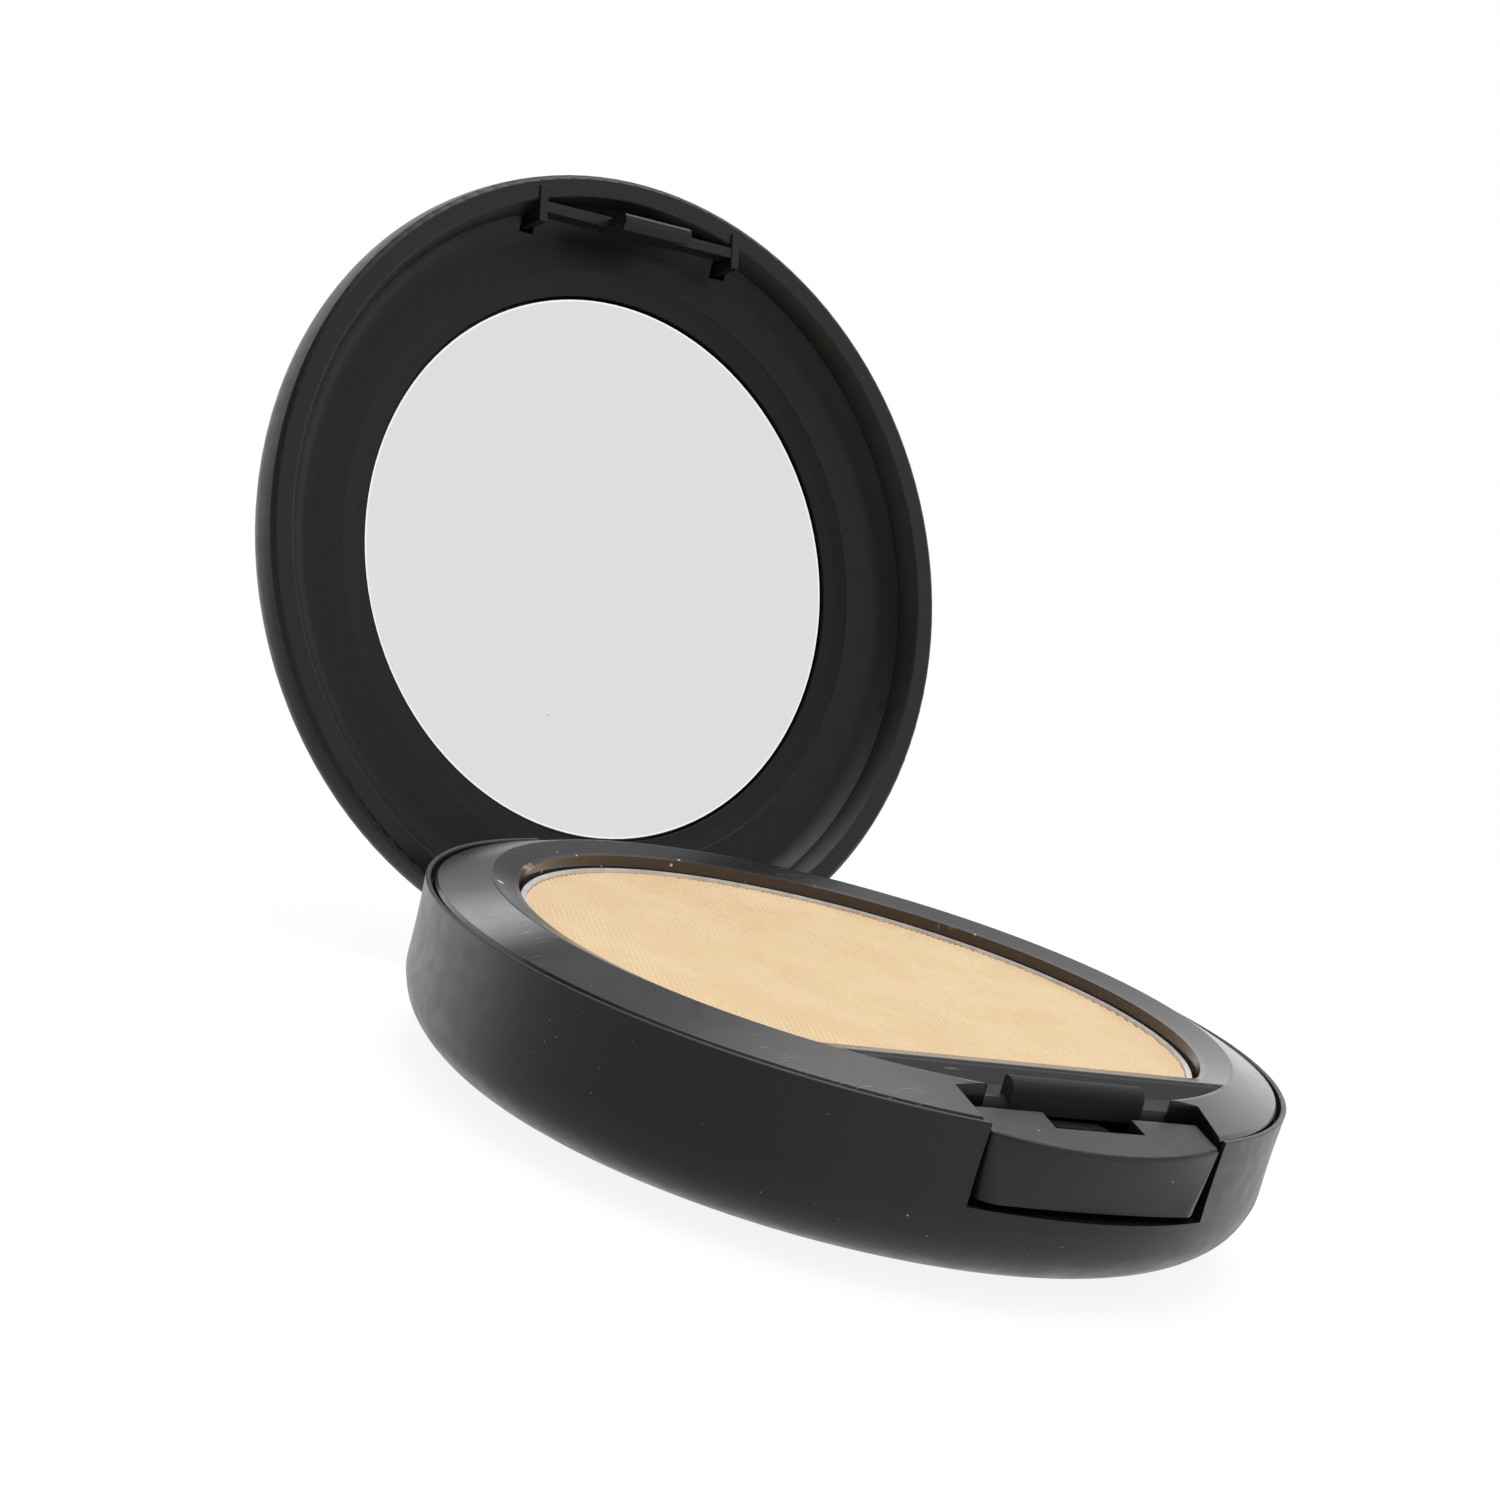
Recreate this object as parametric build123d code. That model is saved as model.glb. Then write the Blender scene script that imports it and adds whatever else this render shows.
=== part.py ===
from build123d import *
import os
from math import cos, radians, sin

# Powder compact: a round two-deck case with a mirror lid, modelled with the lid open.
# Millimetres. Z is up, the origin is the centre of the resting face, the push latch
# faces -Y and the hinge is at +Y. Lid pieces are drawn closed and then swung open.

# ---- main sizes ----
SEAM_Z = 15.6            # top of the base wall, where the tray's edge lies
CLOSED_Z = 23.6          # crown of the closed lid
FOOT_R = 28.5            # flat resting face
BASE_R = 40.4            # base wall, which flares a little to its lip
BASE_WIDE_Z = 8.4        # height at which the rounded foot becomes the wall
LIP_R = 40.66            # base wall at the seam
LIP_EDGE = 0.12
LIP_INNER_R = 40.15      # rebate that takes the tray's edge
LIP_CHAMFER = 0.12
REBATE_Z = 13.8
BASE_WALL = 1.5
BASE_FLOOR = 1.6
BASE_FLOOR_R = 27.5      # flat of the floor inside
INNER_WALL_RISE = 0.4    # inner corner ends this much above the outer one
INNER_FLARE = 0.02
CORNER_POWER = 2.2       # squareness of the rounded foot and of the lid's shoulder
LABEL_R = 25.0
LABEL_T = 0.15
LABEL_GAP = 0.3
CUT_REACH = 50.0         # longer than any sub-part, for cutting blocks
PART_GAP = 0.1           # room between neighbours that must not rub

# ---- hinge, shared by base, tray and lid ----
HINGE_Y = 36.4
HINGE_Z = 10.0
PIN_R = 0.8
PIN_CHAMFER = 0.15
PIN_HALF = 12.0
RUNNING_GAP = 0.05       # radial clearance of a turning knuckle on the pin
KNUCKLE_R = 2.1
LID_KNUCKLE_HALF = 6.3
TRAY_LUG_IN, TRAY_LUG_OUT = 6.8, 9.2
EAR_IN, EAR_OUT = 9.6, 12.0
OPEN_ANGLE = 112.4       # lid angle in the stored pose, counted from closed
HEEL_REACH = 3.25        # lid heel that meets the tray's floor when fully open
HEEL_HALF = 0.5
HEEL_RISE = 5.0          # heel's angle above horizontal when the lid is open
EAR_R = 2.3
EAR_BACK_Y = 40.4
ARM_FRONT_Y, ARM_KNEE_Y = 35.2, 37.0
ARM_KNEE_Z = 14.5
ARM_TOE_Z, ARM_WAIST_Z = 11.4, 15.04
ARM_INNER_Y, ARM_OUTER_Y = 39.6, 40.0
ARM_SIDE_GAP = 0.4       # room beside the arm in the tray

# ---- tray ----
TRAY_R = 39.8
TRAY_EDGE, CREST_ROUND = 0.25, 0.4
TRAY_BACK_SHIFT = 2.9    # edge set in behind, so that the tray can tip up
TRAY_BACK_R = 41.33
CREST_R, CREST_Z = 35.03, 17.32
BAND_R, BAND_Z = 32.25, 16.6
WELL_R = 32.0
WELL_CHORD_Y = -24.0     # straight front of the powder well
WELL_CORNER_R = 3.0
WELL_FLOOR_Z = 12.0
WELL_DRAFT = -3          # degrees, opening upwards
TRAY_UNDER_Z = 10.9
WELL_OUTER_R = 33.4
TRAY_SKIRT_Z = 13.9
TRAY_PLATE = 1.2
RIDGE_FOOT = 0.5         # ridge reaches this far in under the well's lip
VALLEY_FALL = 0.2        # drop of the valley from its back to the slope
CREST_CHORD_Y = -27.4    # straight ridge in front of the well
VALLEY_Y, VALLEY_Z = -29.9, 16.15
VALLEY_R = 34.9
DECK_UNDER_Z = 14.9      # underside of the deck in front of the well
NOTCH_HALF, NOTCH_FRONT_HALF, NOTCH_Y = 13.5, 12.95, -33.4
NOTCH_ROLL = 1.2         # rounding of the deck's edge above the notch
TAB_HALF, TAB_T, TAB_Z = 7.3, 1.5, 17.85
TAB_FRONT_ROUND, TAB_BACK_ROUND = 1.1, 0.3
POCKET_Y, POCKET_Z = -28.8, 15.6

# ---- pan and powder ----
PAN_R, PAN_CHORD_Y, PAN_CORNER_R = 31.8, -23.8, 2.8
PAN_TOP_Z = 15.5
PAN_SHEET = 0.3
PAN_RIM = 0.5
GLUE_T, GLUE_INSET = 0.15, 4.0
POWDER_Z = 15.27

# ---- lid, drawn closed ----
RIM_Z = 16.24
RIM_R, RIM_INNER_R = 40.86, 38.7
LID_WIDE_R, LID_WIDE_Z = 41.2, 18.6
CROWN_R, CROWN_Z = 29.0, 23.3
CROWN_SAG = 0.08         # the crown's flatness, half way out
CROWN_INNER_R = 28.5
TRIM_SKIN = 0.3          # what is left outside the posts and the boss ring
LID_TOP = 1.1
RIM_OUTER_ROUND, RIM_INNER_ROUND = 0.5, 0.25
WALL_R, WALL_Z = 37.6, 18.2           # inner wall where the mirror frame meets it
WALL_BOW = 0.4
SHOULDER_R, SHOULDER_Z = 37.8, 19.6
BOSS_IN, BOSS_OUT = 33.0, 34.2
MIRROR_SHIFT_Y = -0.33
MIRROR_R, MIRROR_Z, MIRROR_T = 28.48, 20.41, 1.2
MIRROR_CHAMFER = 0.15
MIRROR_GLUE_T, MIRROR_GLUE_R = 0.1, 26.0
FRAME_R, FRAME_Z, FRAME_T = 37.65, 19.5, 0.8
GUTTER_START_R, GUTTER_EDGE_Z = 34.9, 18.25
GUTTER_MIDDLE = (36.39, 19.17)
FRAME_BACK_T = 0.34
POCKET_GAP = 0.2
BEVEL_R, BEVEL_INNER_R = 31.3, 29.9
BEVEL_EDGE, BEVEL_DEPTH, BEVEL_STEP = 0.05, 0.4, 0.3   # depths of the recess's two cones
POCKET_WALL = 0.9
POST_X, POST_T = 12.1, 0.9
POST_FRONT_Y, POST_BACK_Y = -38.0, -34.2
POST_END_Z = 16.0
POST_HOLE = 0.45         # room round the posts in the mirror frame
BEAM_FRONT_Y, BEAM_BACK_Y = -36.4, -35.3
BEAM_Z = 18.0
HOOK_HALF, HOOK_END_Z = 4.1, 12.7
HOOK_FRONT_Y, HOOK_BACK_Y = -36.1, -35.2
BARB_Y, BARB_TOP_Z = -34.45, 13.6
HOOK_TIP, BARB_RISE = 0.3, 0.5

# ---- latch button ----
BUTTON_TOP_BACK = (-35.0, 15.75)       # y and z of the top face's back edge
BUTTON_TOP_SLOPE = 0.25                # drop per millimetre towards the front
BUTTON_HALF = 12.7
BUTTON_SIDE_Y = -38.5
BUTTON_NOSE_Y = -41.2
BUTTON_FOOT_Z = 8.85
BUTTON_FOOT_HALF, BUTTON_FOOT_SIDE_Y, BUTTON_FOOT_NOSE_Y = 12.1, -38.9, -39.7
BUTTON_CORNER_R, BUTTON_FOOT_CORNER_R = 0.3, 2.2
BUTTON_TOP_ROUND = 0.4
BUTTON_SKIN = 1.2
BUTTON_ROOM_TAPER, BUTTON_ROOM_NOSE = 0.4, 0.5
BUTTON_FLOOR_Z = 10.0
WEB_FRONT_Y = -36.05
SLOT_HALF, SLOT_Y = 4.95, -37.2
TOOTH_HALF, TOOTH_TOP_Z, TOOTH_UNDER_Z = 2.85, 14.6, 13.9
TOOTH_FOOT_HALF = 3.85
TOOTH_FRONT_Y, PILLAR_FRONT_Y, PILLAR_BACK_Y = -35.0, -34.1, -33.4
FLANGE_HALF, FLANGE_TOP_Z = 14.6, 13.6
FLANGE_BACK_Y = -34.0

# ---- openings and ribs in the base ----
WINDOW_HALF, WINDOW_Z, WINDOW_Y = 12.9, 8.2, -36.6
SHELF_T = 1.4
RIB_BACK_Y, RIB_FRONT_Y, RIB_TOP_Z = -29.6, -30.6, 13.2
GUIDE_IN, GUIDE_OUT, GUIDE_TOP_Z = 15.0, 16.0, 13.4
BACK_SLOT_HALF, BACK_SLOT_Z = 6.65, 3.4
RELIEF_HALF, RELIEF_Z = 13.0, 14.8
POCKET_WALL_Y, POCKET_WALL_T, POCKET_WALL_TOP = 33.2, 1.0, 8.0

# ---- latch springs ----
SPRING_X, SPRING_Z = 9.0, 11.9
SPRING_R, SPRING_WIRE_R, SPRING_PITCH = 1.25, 0.17, 0.8
SPIGOT_R, SPIGOT_LENGTH = 0.9, 1.2
SPRING_END_GAP = 0.05

# ---- sponge ----
SPONGE_R, SPONGE_Y, SPONGE_T, SPONGE_EDGE = 27.0, 1.4, 4.9, 1.6
SPONGE_GAP = 0.05


def block(x, y, z):
    """Box from three (low, high) pairs."""
    corner = Pos((x[0] + x[1]) / 2, (y[0] + y[1]) / 2, (z[0] + z[1]) / 2)
    return corner * Box(x[1] - x[0], y[1] - y[0], z[1] - z[0])


def turned(edges):
    """Solid of revolution about Z from a closed outline of edges in radius and height."""
    return revolve(Plane.XZ * make_face(edges), axis=Axis.Z)


def rounded_face(edges, corners):
    """Face inside a closed outline; corners lists (point, size, fillet or chamfer)."""
    face = make_face(edges)
    for (x, y), size, ease in corners:
        face = ease(face.vertices().sort_by_distance((x, y, 0))[0], size)
    return face


def turned_rounded(edges, corners):
    return revolve(Plane.XZ * rounded_face(edges, corners), axis=Axis.Z)


def slab(points, half_width, corners=()):
    """Prism along X from an outline in Y and height."""
    outline = Plane.YZ * rounded_face(Polyline(*points, close=True), corners)
    return extrude(outline, amount=half_width, both=True)


def rod(y, z, radius, x):
    """Cylinder along X between two x values."""
    centre = Pos((x[0] + x[1]) / 2, y, z)
    return centre * Rot(0, 90, 0) * Cylinder(radius, x[1] - x[0])


def both_sides(shape):
    return [shape, mirror(shape, about=Plane.YZ)]


def shoulder(inner, outer, count=9):
    """Superellipse quarter from a flat at (radius, z) inner to a side wall at outer."""
    points = []
    for step in range(count):
        turn = radians(90 * step / (count - 1))
        across = abs(sin(turn)) ** (2 / CORNER_POWER)
        along = 1 - abs(cos(turn)) ** (2 / CORNER_POWER)
        points.append((inner[0] + (outer[0] - inner[0]) * across,
                       inner[1] + (outer[1] - inner[1]) * along))
    rise = 1 if outer[1] > inner[1] else -1
    return Spline(*points, tangents=((1, 0), (0, rise)))


def base_outline(foot_r, foot_z, side_r, side_z, top):
    """Edges of a solid bowl: flat foot, rounded corner, wall up to the point top."""
    corner = shoulder((foot_r, foot_z), (side_r, side_z))
    middle = (side_r - 0.2 * (side_r - top[0]), (side_z + top[1]) / 2)
    return [
        Line((0, foot_z), (foot_r, foot_z)),
        corner,
        ThreePointArc((side_r, side_z), middle, top),
        Line(top, (0, top[1])),
        Line((0, top[1]), (0, foot_z)),
    ]


def base_bowl():
    outside = turned_rounded(base_outline(FOOT_R, 0, BASE_R, BASE_WIDE_Z, (LIP_R, SEAM_Z)),
                             [((LIP_R, SEAM_Z), LIP_EDGE, chamfer)])
    inner_r = BASE_R - BASE_WALL
    inside = turned(base_outline(BASE_FLOOR_R, BASE_FLOOR, inner_r, BASE_WIDE_Z + INNER_WALL_RISE,
                                 (inner_r - INNER_FLARE, REBATE_Z)))
    rebate = turned(Polyline(
        (0, REBATE_Z), (LIP_INNER_R, REBATE_Z), (LIP_INNER_R, SEAM_Z - LIP_CHAMFER),
        (LIP_INNER_R + LIP_CHAMFER, SEAM_Z), (LIP_INNER_R + LIP_CHAMFER, CUT_REACH),
        (0, CUT_REACH), close=True))
    return outside - inside - rebate


def bowl_core():
    """Everything inside the middle of the base wall, to which ribs are trimmed."""
    inner_r = BASE_R - BASE_WALL / 2
    return turned(base_outline(FOOT_R, BASE_FLOOR / 2, inner_r, BASE_WIDE_Z + INNER_WALL_RISE / 2,
                               (inner_r - INNER_FLARE, REBATE_Z)))


def hinge_ears():
    """Two plates standing on the floor behind the hinge partition, holding the pin."""
    ear = block((EAR_IN, EAR_OUT), (HINGE_Y - EAR_R, EAR_BACK_Y), (BASE_FLOOR / 2, HINGE_Z))
    ear += rod(HINGE_Y, HINGE_Z, EAR_R, (EAR_IN, EAR_OUT))
    return both_sides(ear)


def latch_ribs():
    """Shelf and guides for the button, and the rib that backs its springs."""
    shelf = block((-GUIDE_OUT, GUIDE_OUT), (-CUT_REACH, RIB_FRONT_Y),
                  (WINDOW_Z - SHELF_T, WINDOW_Z))
    rib = block((-GUIDE_OUT, GUIDE_OUT), (RIB_FRONT_Y, RIB_BACK_Y), (BASE_FLOOR / 2, RIB_TOP_Z))
    ribs = [shelf, rib]
    for guide in both_sides(block((GUIDE_IN, GUIDE_OUT), (-CUT_REACH, RIB_FRONT_Y),
                                  (WINDOW_Z, GUIDE_TOP_Z))):
        ribs.append(guide)
    for side in (-1, 1):
        spigot = Pos(side * SPRING_X, RIB_FRONT_Y - SPIGOT_LENGTH / 2, SPRING_Z)
        ribs.append(spigot * Rot(90, 0, 0) * Cylinder(SPIGOT_R, SPIGOT_LENGTH))
    return ribs


def make_base_shell():
    shell = base_bowl()
    ribs = latch_ribs() + hinge_ears()
    ribs.append(block((-EAR_OUT, EAR_OUT), (POCKET_WALL_Y - POCKET_WALL_T, POCKET_WALL_Y),
                      (BASE_FLOOR / 2, POCKET_WALL_TOP)))
    core = bowl_core()
    for rib in ribs:
        shell += rib & core
    shell -= block((-WINDOW_HALF, WINDOW_HALF), (-CUT_REACH, WINDOW_Y), (WINDOW_Z, CUT_REACH))
    shell -= block((-BACK_SLOT_HALF, BACK_SLOT_HALF), (HINGE_Y, CUT_REACH),
                   (BACK_SLOT_Z, CUT_REACH))
    shell -= block((-RELIEF_HALF, RELIEF_HALF), (HINGE_Y, CUT_REACH), (RELIEF_Z, CUT_REACH))
    shell -= rod(HINGE_Y, HINGE_Z, PIN_R, (-PIN_HALF, PIN_HALF))
    shell -= Pos(0, 0, LABEL_T / 2) * Cylinder(LABEL_R + LABEL_GAP, LABEL_T)
    return shell


def make_base_label():
    return Pos(0, 0, LABEL_T / 2) * Cylinder(LABEL_R, LABEL_T)


def make_sponge():
    pad = Pos(0, SPONGE_Y, BASE_FLOOR + SPONGE_T / 2 + SPONGE_GAP) * Cylinder(SPONGE_R, SPONGE_T)
    return fillet(pad.edges().filter_by(GeomType.CIRCLE), SPONGE_EDGE)


def make_hinge_pin():
    pin = rod(HINGE_Y, HINGE_Z, PIN_R, (-PIN_HALF, PIN_HALF))
    return chamfer(pin.edges().filter_by(GeomType.CIRCLE), PIN_CHAMFER)


# ---- tray deck and what it carries ----

def d_outline(radius, chord_y, corner_r):
    """Circle with a straight front and rounded corners."""
    outline = Circle(radius) & Pos(0, chord_y + CUT_REACH / 2 + radius) * Rectangle(
        3 * radius, CUT_REACH + 2 * radius)
    return fillet(outline.vertices(), corner_r)


def tray_ring():
    """Deck turned about Z, still without the well: skirt, slope, crest and funnel band."""
    outline = Polyline((0, TRAY_UNDER_Z), (TRAY_R, TRAY_UNDER_Z), (TRAY_R, SEAM_Z),
                       (CREST_R, CREST_Z), (BAND_R, BAND_Z), (0, BAND_Z), close=True)
    return turned_rounded(outline, [((TRAY_R, SEAM_Z), TRAY_EDGE, chamfer),
                                    ((CREST_R, CREST_Z), CREST_ROUND, fillet)])


def tray_hollow():
    """Space under the deck outside the well: up to the slope, but lower in front."""
    slope = (CREST_Z - SEAM_Z) / (TRAY_R - CREST_R)
    skirt_in = TRAY_R - TRAY_PLATE
    under = turned(Polyline(
        (WELL_OUTER_R, 0), (skirt_in, 0), (skirt_in, SEAM_Z + slope * TRAY_PLATE - TRAY_PLATE),
        (CREST_R, CREST_Z - TRAY_PLATE), (WELL_OUTER_R, DECK_UNDER_Z + 0.7), close=True))
    disc = Pos(0, 0, DECK_UNDER_Z / 2) * Cylinder(skirt_in, DECK_UNDER_Z)
    front_y = WELL_CHORD_Y - TRAY_PLATE
    front = block((-CUT_REACH, CUT_REACH), (-CUT_REACH, front_y), (0, DECK_UNDER_Z))
    behind = block((-CUT_REACH, CUT_REACH), (front_y, CUT_REACH), (0, CUT_REACH))
    return under & behind, disc & front


def tray_front():
    """Straight ridge, and the valley cut between it and the round crest."""
    ridge = slab([(WELL_CHORD_Y + RIDGE_FOOT, BAND_Z - TRAY_PLATE / 2), (WELL_CHORD_Y, BAND_Z),
                  (CREST_CHORD_Y, CREST_Z), (VALLEY_Y, VALLEY_Z),
                  (VALLEY_Y, BAND_Z - TRAY_PLATE)],
                 CREST_R, [((CREST_CHORD_Y, CREST_Z), CREST_ROUND, fillet)])
    drum = Pos(0, 0, BAND_Z) * Cylinder(CREST_R - 0.02, 10)
    valley = slab([(CREST_CHORD_Y, CREST_Z), (VALLEY_Y, VALLEY_Z),
                   (-CREST_R - 1, VALLEY_Z - VALLEY_FALL), (-CREST_R - 1, CREST_Z + 3),
                   (CREST_CHORD_Y, CREST_Z + 3)], CREST_R)
    valley_drum = Pos(0, 0, BAND_Z) * Cylinder(VALLEY_R, 10)
    return ridge & drum, valley & valley_drum


def tray_notch():
    """Opening for the button: straight back, sides drawing in towards the front."""
    slope = (NOTCH_HALF - NOTCH_FRONT_HALF) / (TRAY_R - CREST_R)
    reach_half = NOTCH_HALF - slope * (CUT_REACH + NOTCH_Y)
    plan = make_face(Polyline((-NOTCH_HALF, NOTCH_Y), (NOTCH_HALF, NOTCH_Y),
                              (reach_half, -CUT_REACH), (-reach_half, -CUT_REACH), close=True))
    return extrude(plan, amount=CUT_REACH)


def notch_roll():
    """Waste outside the rounded edge of the deck above the notch, each side of the tab."""
    top = VALLEY_Z + VALLEY_FALL / 2
    waste = slab([(NOTCH_Y - 1, top - NOTCH_ROLL), (NOTCH_Y + NOTCH_ROLL, top - NOTCH_ROLL),
                  (NOTCH_Y + NOTCH_ROLL, top + 1), (NOTCH_Y - 1, top + 1)], VALLEY_R)
    waste -= rod(NOTCH_Y + NOTCH_ROLL, top - NOTCH_ROLL, NOTCH_ROLL, (-CREST_R, CREST_R))
    return waste & Pos(0, 0, BAND_Z) * Cylinder(VALLEY_R, 10)


def tray_tab():
    """Rounded lip for a fingertip on the notch's back edge, with a nail pocket behind."""
    inner = NOTCH_Y + TAB_T
    lip = slab([(NOTCH_Y, DECK_UNDER_Z), (inner, DECK_UNDER_Z), (inner, TAB_Z), (NOTCH_Y, TAB_Z)],
               TAB_HALF, [((NOTCH_Y, TAB_Z), TAB_FRONT_ROUND, fillet),
                          ((inner, TAB_Z), TAB_BACK_ROUND, fillet)])
    arch = make_face([ThreePointArc((-TAB_HALF, inner), (0, POCKET_Y), (TAB_HALF, inner)),
                      Line((-TAB_HALF, inner), (TAB_HALF, inner))])
    pocket = extrude(Pos(0, 0, POCKET_Z) * arch, amount=5)
    return lip, pocket


def tray_lugs():
    """Knuckles under the back of the deck that turn on the hinge pin."""
    lug = rod(HINGE_Y, HINGE_Z, KNUCKLE_R, (TRAY_LUG_IN, TRAY_LUG_OUT))
    lug += block((TRAY_LUG_IN, TRAY_LUG_OUT), (HINGE_Y - KNUCKLE_R, HINGE_Y + PART_GAP),
                 (HINGE_Z, CREST_Z - TRAY_PLATE - 0.2))
    return both_sides(lug)


def make_powder_tray():
    tray = tray_ring()
    ridge, valley = tray_front()
    tray += ridge
    tray -= valley
    for hollow in tray_hollow():
        tray -= hollow
    tray -= Pos(0, 0, TRAY_SKIRT_Z - CUT_REACH / 2) * (
        Cylinder(CUT_REACH, CUT_REACH) - Cylinder(WELL_OUTER_R + 1, CUT_REACH))
    well = Pos(0, 0, WELL_FLOOR_Z) * d_outline(WELL_R, WELL_CHORD_Y, WELL_CORNER_R)
    tray -= extrude(well, amount=6, taper=WELL_DRAFT)
    tray -= tray_notch()
    tray -= notch_roll()
    lip, pocket = tray_tab()
    tray -= pocket
    tray += lip
    for lug in tray_lugs():
        tray += lug
    tray -= rod(HINGE_Y, HINGE_Z, PIN_R + RUNNING_GAP, (-PIN_HALF, PIN_HALF))
    arm_room = LID_KNUCKLE_HALF + ARM_SIDE_GAP
    tray -= block((-arm_room, arm_room), (HINGE_Y + PART_GAP, CUT_REACH), (0, CUT_REACH))
    back_edge = Pos(0, -TRAY_BACK_SHIFT, SEAM_Z) * Cylinder(TRAY_BACK_R, CUT_REACH)
    return tray & back_edge


def make_powder_pan():
    outer = d_outline(PAN_R, PAN_CHORD_Y, PAN_CORNER_R)
    inner = d_outline(PAN_R - PAN_RIM, PAN_CHORD_Y + PAN_RIM, PAN_CORNER_R - PAN_RIM)
    under_rim = d_outline(PAN_R - PAN_SHEET, PAN_CHORD_Y + PAN_SHEET, PAN_CORNER_R - PAN_SHEET)
    low = WELL_FLOOR_Z + GLUE_T
    pan = extrude(Pos(0, 0, low) * outer, amount=PAN_TOP_Z - low)
    pan -= extrude(Pos(0, 0, PAN_TOP_Z - PAN_SHEET) * inner, amount=1)
    pan -= extrude(Pos(0, 0, low + PAN_SHEET) * under_rim,
                   amount=PAN_TOP_Z - low - 2 * PAN_SHEET)
    return pan


def make_pan_adhesive():
    patch = d_outline(PAN_R - GLUE_INSET, PAN_CHORD_Y + GLUE_INSET, PAN_CORNER_R)
    return extrude(Pos(0, 0, WELL_FLOOR_Z) * patch, amount=GLUE_T)


def make_pressed_powder():
    under_rim = d_outline(PAN_R - PAN_SHEET, PAN_CHORD_Y + PAN_SHEET, PAN_CORNER_R - PAN_SHEET)
    mouth = d_outline(PAN_R - PAN_RIM, PAN_CHORD_Y + PAN_RIM, PAN_CORNER_R - PAN_RIM)
    low = WELL_FLOOR_Z + GLUE_T + PAN_SHEET
    rim_z = PAN_TOP_Z - PAN_SHEET
    cake = extrude(Pos(0, 0, low) * under_rim, amount=rim_z - low)
    return cake + extrude(Pos(0, 0, rim_z) * mouth, amount=POWDER_Z - rim_z)


# ---- latch ----

def button_outline(z, half, side_y, nose_y, corner_r):
    """Plan of the button at one height: straight back and sides, curved front."""
    back_y = BUTTON_TOP_BACK[0]
    plan = rounded_face([
        Line((-half, back_y), (half, back_y)),
        Line((half, back_y), (half, side_y)),
        ThreePointArc((half, side_y), (0, nose_y), (-half, side_y)),
        Line((-half, side_y), (-half, back_y)),
    ], [((half, side_y), corner_r, fillet), ((-half, side_y), corner_r, fillet)])
    return Pos(0, 0, z) * plan


def button_body():
    """Outside of the button, with its sloping top and rounded top edge."""
    back_y, back_z = BUTTON_TOP_BACK
    foot = button_outline(BUTTON_FOOT_Z, BUTTON_FOOT_HALF, BUTTON_FOOT_SIDE_Y,
                          BUTTON_FOOT_NOSE_Y, BUTTON_FOOT_CORNER_R)
    head = button_outline(back_z, BUTTON_HALF, BUTTON_SIDE_Y, BUTTON_NOSE_Y, BUTTON_CORNER_R)
    body = loft([foot, head])
    reach = 10.0
    body -= slab([(back_y + 1, back_z + BUTTON_TOP_SLOPE),
                  (back_y - reach, back_z - BUTTON_TOP_SLOPE * reach),
                  (back_y - reach, back_z + 5), (back_y + 1, back_z + 5)], CUT_REACH)
    top = body.faces().sort_by(Axis.Z)[-1]
    return fillet([edge for edge in top.edges() if edge.center().Y < back_y - 0.1],
                  BUTTON_TOP_ROUND)


def button_room():
    """Hollow behind the button's skin, closed by the web that the springs push."""
    foot = button_outline(BUTTON_FLOOR_Z, BUTTON_FOOT_HALF - BUTTON_SKIN,
                          BUTTON_FOOT_SIDE_Y + BUTTON_SKIN, BUTTON_FOOT_NOSE_Y + BUTTON_SKIN,
                          BUTTON_CORNER_R)
    head = button_outline(BUTTON_TOP_BACK[1] - 2 * BUTTON_SKIN,
                          BUTTON_HALF - BUTTON_SKIN - BUTTON_ROOM_TAPER,
                          BUTTON_SIDE_Y + BUTTON_SKIN,
                          BUTTON_NOSE_Y + BUTTON_SKIN + BUTTON_ROOM_NOSE, BUTTON_CORNER_R)
    return loft([foot, head]) & block((-CUT_REACH, CUT_REACH), (-CUT_REACH, WEB_FRONT_Y),
                                      (0, CUT_REACH))


def make_latch_button():
    back_y = BUTTON_TOP_BACK[0]
    body = button_body() - button_room()
    body -= block((-SLOT_HALF, SLOT_HALF), (SLOT_Y, CUT_REACH), (BUTTON_FLOOR_Z, CUT_REACH))
    body += block((-TOOTH_FOOT_HALF, TOOTH_FOOT_HALF), (SLOT_Y, PILLAR_BACK_Y),
                  (BUTTON_FOOT_Z, BUTTON_FLOOR_Z))
    body += block((-TOOTH_HALF, TOOTH_HALF), (PILLAR_FRONT_Y, PILLAR_BACK_Y),
                  (BUTTON_FLOOR_Z, TOOTH_TOP_Z))
    body += block((-TOOTH_HALF, TOOTH_HALF), (TOOTH_FRONT_Y, PILLAR_FRONT_Y),
                  (TOOTH_UNDER_Z, TOOTH_TOP_Z))
    for flange in both_sides(block((BUTTON_FOOT_HALF - BUTTON_SKIN, FLANGE_HALF), (back_y, FLANGE_BACK_Y),
                                   (BUTTON_FOOT_Z, FLANGE_TOP_Z))):
        body += flange
    return body


def make_latch_spring(side):
    """Coil between the base's rib and the web behind the button."""
    end_room = SPRING_WIRE_R + SPRING_END_GAP
    length = RIB_FRONT_Y - BUTTON_TOP_BACK[0] - 2 * end_room
    path = Helix(pitch=SPRING_PITCH, height=length, radius=SPRING_R)
    wire = (path ^ 0) * Circle(SPRING_WIRE_R)
    coil = sweep(wire, path=path, is_frenet=True)
    return Pos(side * SPRING_X, RIB_FRONT_Y - end_room, SPRING_Z) * Rot(90, 0, 0) * coil


# ---- lid, drawn closed ----

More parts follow.
